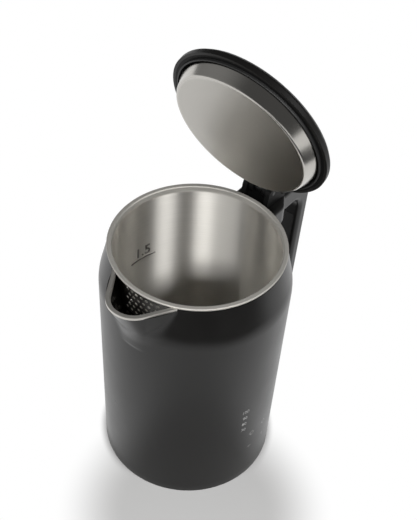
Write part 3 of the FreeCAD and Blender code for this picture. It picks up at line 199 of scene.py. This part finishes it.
# The outer shell is one black moulding: a wall that widens upwards, a soft crease, a shoulder up to
# the steel rim, and a beak drawn out under the spout. Fine spark texture, satin. Sizes in millimetres.
MM = 0.001
FOOT_RADIUS, FOOT_HEIGHT = 68.4, 0.2
CREASE_RADIUS, CREASE_HEIGHT = 71.2, 182.3
SHELL_TOP_RADIUS, SHELL_TOP = 64.6, 209.5
CREASE_SOFT = 1.6
FOOT_EDGE = 0.6
SHELL_WALL = 1.4
BEAK_HEIGHTS = (171.0, 183.0, 209.5)
BEAK_TIPS = (69.7, 75.5, 88.45)
BEAK_NOSES = (15.0, 18.0, 19.5)
BEAK_HALVES = (18.0, 26.0, 29.0)
BEAK_BLENDS = (7.0, 6.0, 1.5)
BEAK_ROOT = 58.0
BEAK_FADE, BEAK_FADE_SLOPE = 8.0, 0.3
SHELL_BLACK = (0.0036, 0.0034, 0.0032)
SHELL_COLUMNS = 480
SHELL_ROWS = np.concatenate([
    np.array([0.0, 0.07, 0.21, 0.4, 0.6]) + FOOT_HEIGHT,
    np.linspace(8.0, 140.0, 12),
    np.linspace(144.0, 209.1, 50),
    [209.35, SHELL_TOP],
])


def plastic(name, shade, rough, grain=0.22, gloss=0.4):
    """Moulded plastic: slow patches of shade and shine, and a fine spark texture."""
    material = bpy.data.materials.new(name)
    material.use_nodes = True
    nodes, links = material.node_tree.nodes, material.node_tree.links
    shader = nodes["Principled BSDF"]
    shader.inputs["Specular IOR Level"].default_value = gloss
    where = nodes.new("ShaderNodeTexCoord")
    patch = nodes.new("ShaderNodeTexNoise")
    patch.inputs["Scale"].default_value = 38.0
    patch.inputs["Detail"].default_value = 4.0
    links.new(where.outputs["Object"], patch.inputs["Vector"])
    tone = nodes.new("ShaderNodeMix")
    tone.data_type = "RGBA"
    tone.inputs["A"].default_value = [0.86 * c for c in shade] + [1]
    tone.inputs["B"].default_value = [1.14 * c for c in shade] + [1]
    links.new(patch.outputs["Fac"], tone.inputs["Factor"])
    links.new(tone.outputs["Result"], shader.inputs["Base Color"])
    shine = nodes.new("ShaderNodeMapRange")
    shine.inputs["To Min"].default_value = rough - 0.05
    shine.inputs["To Max"].default_value = rough + 0.05
    links.new(patch.outputs["Fac"], shine.inputs["Value"])
    links.new(shine.outputs["Result"], shader.inputs["Roughness"])
    spark = nodes.new("ShaderNodeTexNoise")
    spark.inputs["Scale"].default_value = 2400.0
    spark.inputs["Detail"].default_value = 2.0
    links.new(where.outputs["Object"], spark.inputs["Vector"])
    relief = nodes.new("ShaderNodeBump")
    relief.inputs["Strength"].default_value = grain
    relief.inputs["Distance"].default_value = 0.00008
    links.new(spark.outputs["Fac"], relief.inputs["Height"])
    links.new(relief.outputs["Normal"], shader.inputs["Normal"])
    return material


def finish(node, material):
    """A CAD node takes a finish in every one of its material slots."""
    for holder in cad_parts[node].material_slots:
        holder.material = material


def smooth_min(a, b, soft):
    """The smaller of two values, rounded where they meet."""
    near = np.maximum(soft - np.abs(a - b), 0) / soft
    return np.minimum(a, b) - near * near * soft / 4


def beak_outline(tip, nose, half):
    """Beak seen from above as (angle from its middle, radius)."""
    centre = tip - nose
    reach = math.hypot(centre - BEAK_ROOT, half)
    bearing = math.atan2(half, BEAK_ROOT - centre)
    touch = bearing - math.acos(nose / reach)
    turn = np.linspace(0, touch, 40)
    x = np.append(centre + nose * np.cos(turn), BEAK_ROOT)
    y = np.append(nose * np.sin(turn), half)
    return np.arctan2(y, x), np.hypot(x, y)


bpy.ops.object.select_all(action="DESELECT")
bpy.ops.mesh.primitive_grid_add(x_subdivisions=SHELL_COLUMNS, y_subdivisions=len(SHELL_ROWS) - 1, size=2)
shell = bpy.context.object
shell.name = "shell_skin"
flat = np.zeros(len(shell.data.vertices) * 3)
shell.data.vertices.foreach_get("co", flat)
flat = flat.reshape(-1, 3)
turn = (flat[:, 0] + 1) * math.pi
row = np.rint((flat[:, 1] + 1) / 2 * (len(SHELL_ROWS) - 1)).astype(int)
height = SHELL_ROWS[row]
up_wall = (height - FOOT_HEIGHT) / (CREASE_HEIGHT - FOOT_HEIGHT)
wall = FOOT_RADIUS + (CREASE_RADIUS - FOOT_RADIUS) * up_wall
slope = (CREASE_RADIUS - SHELL_TOP_RADIUS) / (SHELL_TOP - CREASE_HEIGHT)
shoulder = CREASE_RADIUS - slope * (height - CREASE_HEIGHT)
radius = smooth_min(wall, shoulder, CREASE_SOFT)
rise = np.clip((FOOT_HEIGHT + FOOT_EDGE - height) / FOOT_EDGE, 0, 1)
radius = radius - FOOT_EDGE * (1 - np.sqrt(1 - rise * rise))
aside = np.abs(np.arctan2(np.sin(turn - math.pi), np.cos(turn - math.pi)))
beak = np.zeros(len(radius))
for level in range(len(SHELL_ROWS)):
    z = SHELL_ROWS[level]
    if z < BEAK_HEIGHTS[0] - BEAK_FADE:
        continue
    tip, nose, half = (float(np.interp(z, BEAK_HEIGHTS, sizes))
                       for sizes in (BEAK_TIPS, BEAK_NOSES, BEAK_HALVES))
    if z < BEAK_HEIGHTS[0]:
        tip -= (BEAK_HEIGHTS[0] - z) * BEAK_FADE_SLOPE
    angles, radii = beak_outline(tip, nose, half)
    here = row == level
    beak[here] = np.interp(aside[here], angles, radii, right=0)
blend = np.interp(height, BEAK_HEIGHTS, BEAK_BLENDS)
radius = -smooth_min(-radius, -beak, blend)
place = np.stack([radius * np.cos(turn), radius * np.sin(turn), height], axis=1) * MM
shell.data.vertices.foreach_set("co", place.ravel())
bpy.ops.object.mode_set(mode="EDIT")
bpy.ops.mesh.select_all(action="SELECT")
bpy.ops.mesh.remove_doubles(threshold=0.00001)
bpy.ops.object.mode_set(mode="OBJECT")
# Laid this way round the grid already faces outwards, so the wall grows inwards from it.
thick = shell.modifiers.new("wall", "SOLIDIFY")
thick.thickness = SHELL_WALL * MM
thick.offset = -1
bpy.ops.object.modifier_apply(modifier="wall")
bpy.ops.object.mode_set(mode="EDIT")
bpy.ops.mesh.select_all(action="SELECT")
bpy.ops.mesh.normals_make_consistent(inside=False)
bpy.ops.object.mode_set(mode="OBJECT")
bpy.ops.object.shade_smooth_by_angle(angle=math.radians(50))
shell.data.materials.append(plastic("shell_black", SHELL_BLACK, rough=0.30, gloss=0.32))
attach(shell, "kettle_body")
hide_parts("outer_shell")

# The vessel is drawn and spun from one steel sheet, so its brushing runs round the axis, on wall,
# floor and rolled rim alike. The rim is an even satin. The wall's outer side, seen through the
# spout, has its colour darkened: painted shade.
STEEL = (0.61, 0.592, 0.555)
RIM = (("along", 0.2070, 0.2090),)
# Below the rim the wall's outer side is darkened in colour as painted shade.
OUTER_SIDE_PAINTED_SHADE = (("ring", 0.06145, 0.06160), ("along", 0.2075, 0.2065))


def brushed(name, shade, rough, centre=(0, 0, 0), axis=(0, 0, 1), streaks=0.5, stretch=0.6, changes=()):
    """Steel brushed round an axis: fine lines, and a shine drawn out across them.

    A change scales shade, roughness or stretch where all its ramps are up. A ramp is measured in
    metres from the axis ("ring") or along it ("along").
    """
    material = bpy.data.materials.new(name)
    material.use_nodes = True
    nodes, links = material.node_tree.nodes, material.node_tree.links
    shader = nodes["Principled BSDF"]
    shader.inputs["Metallic"].default_value = 1.0
    shader.inputs["Anisotropic"].default_value = stretch

    def vector(operation, first, second=None):
        node = nodes.new("ShaderNodeVectorMath")
        node.operation = operation
        for socket, source in zip(node.inputs, (first, second)):
            if isinstance(source, bpy.types.NodeSocket):
                links.new(source, socket)
            elif source is not None:
                socket.default_value = source
        return node

    def scalar(operation, *sources):
        node = nodes.new("ShaderNodeMath")
        node.operation = operation
        for socket, source in zip(node.inputs, sources):
            if isinstance(source, bpy.types.NodeSocket):
                links.new(source, socket)
            else:
                socket.default_value = source
        return node.outputs["Value"]

    where = nodes.new("ShaderNodeTexCoord")
    arm = vector("SUBTRACT", where.outputs["Object"], centre).outputs["Vector"]
    along = vector("DOT_PRODUCT", arm, axis).outputs["Value"]
    lift = nodes.new("ShaderNodeVectorMath")
    lift.operation = "SCALE"
    lift.inputs[0].default_value = axis
    links.new(along, lift.inputs["Scale"])
    outward = vector("SUBTRACT", arm, lift.outputs["Vector"]).outputs["Vector"]
    ray = vector("NORMALIZE", outward).outputs["Vector"]
    across = vector("ADD", ray, axis).outputs["Vector"]
    to_world = nodes.new("ShaderNodeVectorTransform")
    to_world.vector_type = "VECTOR"
    to_world.convert_from = "OBJECT"
    to_world.convert_to = "WORLD"
    links.new(across, to_world.inputs["Vector"])
    links.new(to_world.outputs["Vector"], shader.inputs["Tangent"])
    ring = vector("LENGTH", outward).outputs["Value"]
    lines = nodes.new("ShaderNodeCombineXYZ")
    links.new(ring, lines.inputs["X"])
    links.new(along, lines.inputs["Y"])
    fine = vector("MULTIPLY", lines.outputs["Vector"], (1100, 1100, 0)).outputs["Vector"]
    drift = vector("MULTIPLY", ray, (1.6, 1.6, 1.6)).outputs["Vector"]
    spot = vector("ADD", fine, drift).outputs["Vector"]
    brush = nodes.new("ShaderNodeTexNoise")
    brush.inputs["Scale"].default_value = 1.0
    brush.inputs["Detail"].default_value = 5.0
    brush.inputs["Roughness"].default_value = 0.65
    links.new(spot, brush.inputs["Vector"])
    tone = nodes.new("ShaderNodeMix")
    tone.data_type = "RGBA"
    tone.inputs["A"].default_value = [c * (1 - 0.22 * streaks) for c in shade] + [1]
    tone.inputs["B"].default_value = [min(1, c * (1 + 0.22 * streaks)) for c in shade] + [1]
    links.new(brush.outputs["Fac"], tone.inputs["Factor"])
    links.new(tone.outputs["Result"], shader.inputs["Base Color"])
    shine = nodes.new("ShaderNodeMapRange")
    shine.inputs["To Min"].default_value = rough - 0.12 * streaks
    shine.inputs["To Max"].default_value = rough + 0.12 * streaks
    links.new(brush.outputs["Fac"], shine.inputs["Value"])
    links.new(shine.outputs["Result"], shader.inputs["Roughness"])
    results = {"Base Color": tone.outputs["Result"],
               "Roughness": shine.outputs["Result"],
               "Anisotropic": stretch}
    measures = {"ring": ring, "along": along}
    for socket, factor, ramps in changes:
        share = 1.0
        for measure, first, last in ramps:
            ramp = nodes.new("ShaderNodeMapRange")
            ramp.inputs["From Min"].default_value = first
            ramp.inputs["From Max"].default_value = last
            links.new(measures[measure], ramp.inputs["Value"])
            share = scalar("MULTIPLY", ramp.outputs["Result"], share)
        scale = scalar("MULTIPLY_ADD", share, factor - 1, 1.0)
        if socket == "Base Color":
            dimmed = vector("SCALE", results[socket])
            links.new(scale, dimmed.inputs["Scale"])
            results[socket] = dimmed.outputs["Vector"]
        else:
            results[socket] = scalar("MULTIPLY", scale, results[socket])
        links.new(results[socket], shader.inputs[socket])
    relief = nodes.new("ShaderNodeBump")
    relief.inputs["Strength"].default_value = 0.12 * streaks
    relief.inputs["Distance"].default_value = 0.0001
    links.new(brush.outputs["Fac"], relief.inputs["Height"])
    links.new(relief.outputs["Normal"], shader.inputs["Normal"])
    return material


vessel_steel = brushed("vessel_steel", STEEL, rough=0.42, stretch=0.98, changes=(
    ("Roughness", 1.75, RIM),
    ("Base Color", 0.74, RIM),
    ("Anisotropic", 0.0, RIM),
    ("Base Color", 0.16, OUTER_SIDE_PAINTED_SHADE)))
finish("inner_vessel", vessel_steel)

# The fill mark is pressed into the wall opposite the touch marks: a number and the line it belongs to.
# Its figures are drawn flat, cut fine and bent onto the wall. Steel with real relief, its colour darkened
# to paint in the relief's shade.
VESSEL_RADIUS = 61.3
FILL_BEARING, FILL_HEIGHT, FILL_LINE = 80.0, 157.5, 150.6
FILL_SIZE, FILL_RELIEF = 13.0, 0.6
FILL_LINE_LENGTH, FILL_LINE_WIDTH = 24.0, 0.9
# The mark's darker steel colour is painted shade for its relief.
MARK_STEEL_PAINTED_SHADE = (0.3, 0.29, 0.28)


def vessel_radius(level):
    """The vessel's wall is upright."""
    return np.full_like(level, VESSEL_RADIUS)


def wrapped(piece, radius_at, bearing, height, inward=False):
    """Lays a flat piece drawn in XY on the round wall, its face outwards, or inwards."""
    spot = np.zeros(len(piece.data.vertices) * 3)
    piece.data.vertices.foreach_get("co", spot)
    spot = spot.reshape(-1, 3)
    level = height + spot[:, 1]
    side = -1 if inward else 1
    reach = radius_at(level)
    turned = math.radians(bearing) + side * spot[:, 0] / reach
    reach = reach + side * spot[:, 2]
    laid = np.stack([reach * np.cos(turned), reach * np.sin(turned), level], axis=1) * MM
    piece.data.vertices.foreach_set("co", laid.ravel())
    piece.data.update()


def lettered(text, size, depth):
    """Raised figures as a mesh in XY, in millimetres, fine enough to be bent."""
    bpy.ops.object.select_all(action="DESELECT")
    bpy.ops.object.text_add()
    figures = bpy.context.object
    figures.data.body = text
    figures.data.size = size
    figures.data.align_x = "CENTER"
    figures.data.align_y = "CENTER"
    figures.data.extrude = depth
    figures.data.resolution_u = 4
    bpy.ops.object.convert(target="MESH")
    bpy.ops.object.mode_set(mode="EDIT")
    bpy.ops.mesh.select_all(action="SELECT")
    bpy.ops.mesh.remove_doubles(threshold=0.001)
    bpy.ops.mesh.subdivide(number_cuts=1)
    bpy.ops.mesh.normals_make_consistent(inside=False)
    bpy.ops.object.mode_set(mode="OBJECT")
    return figures


def bar(width, tall, depth):
    """A thin raised bar as a mesh in XY, cut across so that it can be bent."""
    bpy.ops.object.select_all(action="DESELECT")
    bpy.ops.mesh.primitive_grid_add(x_subdivisions=24, y_subdivisions=1, size=1)
    strip = bpy.context.object
    bpy.ops.object.mode_set(mode="EDIT")
    bpy.ops.mesh.select_all(action="SELECT")
    bpy.ops.transform.resize(value=(width, tall, 1))
    bpy.ops.mesh.extrude_region_move(TRANSFORM_OT_translate={"value": (0, 0, depth)})
    bpy.ops.mesh.select_all(action="SELECT")
    bpy.ops.mesh.normals_make_consistent(inside=False)
    bpy.ops.object.mode_set(mode="OBJECT")
    return strip


def joined(pieces, name):
    """Several meshes made into one piece."""
    bpy.ops.object.select_all(action="DESELECT")
    for piece in pieces:
        piece.select_set(True)
    bpy.context.view_layer.objects.active = pieces[0]
    bpy.ops.object.join()
    pieces[0].name = name
    return pieces[0]


fill_number = lettered("1.5", FILL_SIZE, FILL_RELIEF)
wrapped(fill_number, vessel_radius, FILL_BEARING, FILL_HEIGHT, inward=True)
fill_line = bar(FILL_LINE_LENGTH, FILL_LINE_WIDTH, FILL_RELIEF)
wrapped(fill_line, vessel_radius, FILL_BEARING, FILL_LINE, inward=True)
fill_mark = joined([fill_number, fill_line], "fill_mark")
bpy.ops.object.shade_smooth_by_angle(angle=math.radians(40))
fill_mark.data.materials.clear()
fill_mark.data.materials.append(brushed("mark_steel", MARK_STEEL_PAINTED_SHADE, rough=0.30, stretch=0.2))
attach(fill_mark, "kettle_body")

# The spout is pressed from steel sheet and welded to the vessel: a flat satin lip, and under it a
# smooth trough whose steel colour is darkened below the lip: painted shade.
SPOUT_MIDDLE = (-0.065, 0, 0)
LIP = (("along", 0.2085, 0.2095),)
# Below the lip the trough's colour is darkened: painted shade.
TROUGH_PAINTED_SHADE = (("along", 0.2090, 0.2080),)
spout_steel = brushed("spout_steel", STEEL, rough=0.20, centre=SPOUT_MIDDLE, stretch=0.0, streaks=0.3,
                      changes=(("Roughness", 2.4, LIP), ("Base Color", 0.13, TROUGH_PAINTED_SHADE)))
finish("pouring_spout", spout_steel)

# A silicone ring seals the rim against the shell. Under the kettle a black moulded cover with the
# foot ring is held by three steel screws.
soft_black = plastic("soft_black", (0.006, 0.006, 0.006), rough=0.55, grain=0.1)
finish("rim_gasket", soft_black)
finish("bottom_cover", plastic("cover_black", (0.024, 0.024, 0.024), rough=0.5, grain=0.3))
screw_steel = brushed("screw_steel", (0.5, 0.5, 0.5), rough=0.32, stretch=0.0)
finish("bottom_screws", screw_steel)

# The touch marks are printed on the shell in pale ink: a column of temperatures, two rings and the
# signs for less and more. The place below them is bare.
NUMBER_BEARING = -104.8
NUMBERS = (("100", 89.6), ("90", 82.0), ("80", 74.6), ("70", 67.0))
NUMBER_SIZE = 4.6
RING_BEARINGS, RING_HEIGHT = (-96.2, -83.6), 54.3
SIGN_BEARINGS, SIGN_HEIGHT = (-96.8, -82.8), 37.3
SIGN_LENGTH, SIGN_WIDTH = 3.4, 0.55
RING_RADIUS, RING_WIDTH = 2.2, 0.5
PRINT_DEPTH = 0.03
PRINT_INK = (0.30, 0.30, 0.295)


def shell_radius(level):
    """The shell's wall, a print's thickness proud."""
    rise = (level - FOOT_HEIGHT) / (CREASE_HEIGHT - FOOT_HEIGHT)
    return FOOT_RADIUS + (CREASE_RADIUS - FOOT_RADIUS) * rise + PRINT_DEPTH


prints = []
for text, level in NUMBERS:
    figures = lettered(text, NUMBER_SIZE, PRINT_DEPTH)
    wrapped(figures, shell_radius, NUMBER_BEARING, level)
    prints.append(figures)
for bearing in RING_BEARINGS:
    bpy.ops.object.select_all(action="DESELECT")
    bpy.ops.mesh.primitive_circle_add(vertices=48, radius=RING_RADIUS, fill_type="NGON")
    ring = bpy.context.object
    bpy.ops.object.mode_set(mode="EDIT")
    bpy.ops.mesh.select_all(action="SELECT")
    bpy.ops.mesh.inset(thickness=RING_WIDTH)
    bpy.ops.mesh.delete(type="FACE")
    bpy.ops.object.mode_set(mode="OBJECT")
    wrapped(ring, shell_radius, bearing, RING_HEIGHT)
    prints.append(ring)
for bearing in SIGN_BEARINGS:
    sign = bar(SIGN_LENGTH, SIGN_WIDTH, PRINT_DEPTH)
    wrapped(sign, shell_radius, bearing, SIGN_HEIGHT)
    prints.append(sign)
upright = bar(SIGN_WIDTH, SIGN_LENGTH, PRINT_DEPTH)
wrapped(upright, shell_radius, SIGN_BEARINGS[1], SIGN_HEIGHT)
prints.append(upright)
touch_marks = joined(prints, "touch_marks")
touch_marks.data.materials.clear()
touch_marks.data.materials.append(plastic("print_ink", PRINT_INK, rough=0.5, grain=0.1))
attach(touch_marks, "kettle_body")

# The handle is moulded in black: a saddle on the shoulder, a strap grip with its inner cover, and the
# cap on top. Steel screws hold it from inside the shell.
grip_black = plastic("grip_black", (0.0050, 0.0049, 0.0047), rough=0.32)
for node in ("handle_head", "handle_grip", "handle_cap"):
    finish(node, grip_black)
finish("grip_cover", plastic("inner_black", (0.010, 0.0096, 0.0092), rough=0.45))
finish("handle_screws", screw_steel)

# The hinge is a dull black block with two ears, screwed to the saddle. It holds a dark steel pin and
# the spring that opens the lid; the latch's own spring has the same finish.
hinge_black = plastic("hinge_black", (0.003, 0.003, 0.003), rough=0.5, grain=0.15, gloss=0.08)
finish("hinge_bracket", hinge_black)
dark_steel = brushed("dark_steel", (0.05, 0.05, 0.05), rough=0.4, stretch=0.0)
for node in ("bracket_screws", "hinge_pin", "lid_spring", "latch_spring"):
    finish(node, dark_steel)

# The release button and its slider are moulded in the same dull black. The button drops into the
# handle's cap and draws the slider back.
finish("release_button", hinge_black)
finish("latch_slider", hinge_black)

# The lid is a black frame with a satin cover, screwed together, a silicone seal and the steel pan that
# closes the vessel. The pan's face is brushed satin round its own axis, its side wall is smoother.
PAN_MIDDLE, PAN_AXIS = (0.0461, 0, 0.2861), (-0.9483, 0, -0.3173)
PAN_STEEL = [0.86 * c for c in STEEL]
PAN_SIDE = (("ring", 0.0515, 0.0535),)
pan_steel = brushed("pan_steel", PAN_STEEL, rough=0.40, centre=PAN_MIDDLE, axis=PAN_AXIS,
                    stretch=0.0, streaks=0.2, changes=(("Roughness", 0.52, PAN_SIDE),))
finish("lid_frame", hinge_black)
finish("lid_cover", plastic("cover_satin", SHELL_BLACK, rough=0.42, grain=0.2, gloss=0.2))
finish("lid_seal", soft_black)
finish("lid_pan", pan_steel)
finish("lid_screws", screw_steel)

# Hidden works: under the floor the aluminium spreader, the steel heating tube, the sensor, and the
# control block with its brass contacts; behind the touch marks the curved board and its lights.
finish("heat_spreader", brushed("spreader_aluminium", (0.7, 0.7, 0.7), rough=0.4))
finish("heating_element", brushed("tube_steel", (0.4, 0.39, 0.37), rough=0.35))
finish("temperature_sensor", screw_steel)
finish("control_block", plastic("socket_black", (0.02, 0.02, 0.02), rough=0.45))
contact_brass = brushed("contact_brass", (0.72, 0.52, 0.24), rough=0.28)
finish("inner_contact_ring", contact_brass)
finish("outer_contact_ring", contact_brass)
finish("control_board", plastic("board_green", (0.03, 0.12, 0.06), rough=0.45))
finish("indicator_lights", plastic("lens_white", (0.7, 0.7, 0.68), rough=0.3))
